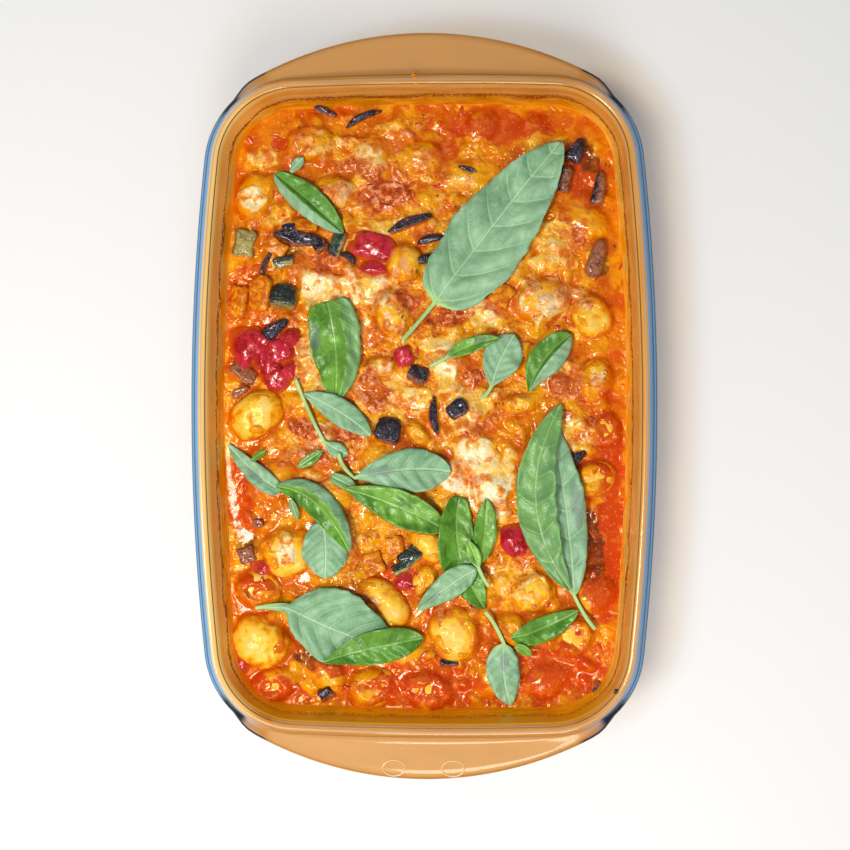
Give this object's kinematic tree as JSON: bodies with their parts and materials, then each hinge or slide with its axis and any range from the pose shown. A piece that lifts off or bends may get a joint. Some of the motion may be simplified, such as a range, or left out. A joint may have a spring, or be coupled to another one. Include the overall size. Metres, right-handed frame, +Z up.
{
  "type": "dish of baked gnocchi",
  "caption": "Oblong glass oven dish with end handles, full of gnocchi baked in tomato sauce with diced vegetables and melted cheese, strewn with basil leaves.",
  "frame": {"origin": "middle of the foot, on the surface that the dish stands on", "axes": "+Y along the dish from handle to handle, +X across it, +Z up"},
  "size_m": [0.219, 0.35, 0.062],
  "materials": {
    "glass": "clear oven glass with a warm film of baked-on oil",
    "bake": "gnocchi in glossy tomato sauce under browned melted cheese",
    "tomato": "wet cooked tomato",
    "aubergine": "roasted aubergine, dark skin and brown flesh",
    "courgette": "cooked courgette, dark green skin",
    "pepper": "soft cooked orange pepper",
    "basil": "fresh basil, bright above and pale below"
  },
  "bodies": {
    "root": {"glass_dish": "glass", "gnocchi_bake": "bake", "tomato_piece_1": "tomato", "tomato_piece_2": "tomato", "tomato_piece_3": "tomato", "tomato_piece_4": "tomato", "tomato_piece_5": "tomato", "tomato_piece_6": "tomato", "tomato_piece_7": "tomato", "tomato_piece_8": "tomato", "aubergine_dice_1": "aubergine", "aubergine_dice_2": "aubergine", "aubergine_dice_3": "aubergine", "aubergine_dice_4": "aubergine", "aubergine_wedge_1": "aubergine", "aubergine_wedge_2": "aubergine", "aubergine_wedge_3": "aubergine", "aubergine_wedge_4": "aubergine", "aubergine_wedge_5": "aubergine", "aubergine_strip_1": "aubergine", "aubergine_strip_2": "aubergine", "aubergine_strip_3": "aubergine", "aubergine_slice_1": "aubergine", "aubergine_slice_2": "aubergine", "courgette_dice_1": "courgette", "courgette_dice_2": "courgette", "courgette_dice_3": "courgette", "courgette_dice_4": "courgette", "courgette_dice_5": "courgette", "pepper_piece_1": "pepper", "pepper_piece_2": "pepper", "pepper_piece_3": "pepper", "pepper_piece_4": "pepper", "pepper_piece_5": "pepper", "basil_leaf_1": "basil", "basil_leaf_2": "basil", "basil_leaf_3": "basil", "basil_leaf_4": "basil", "basil_leaf_5": "basil", "basil_leaf_6": "basil", "basil_leaf_7": "basil", "basil_leaf_8": "basil", "basil_leaf_9": "basil", "basil_leaf_10": "basil", "basil_leaf_11": "basil", "basil_leaf_12": "basil", "basil_leaf_13": "basil", "basil_leaf_14": "basil", "basil_leaf_15": "basil", "basil_leaf_16": "basil", "basil_leaf_17": "basil", "basil_leaf_18": "basil", "basil_leaf_19": "basil", "basil_leaf_20": "basil", "basil_leaf_21": "basil", "basil_leaf_22": "basil", "basil_leaf_23": "basil", "basil_leaf_24": "basil", "basil_leaf_25": "basil", "basil_leaf_26": "basil"}
  },
  "joints": []
}
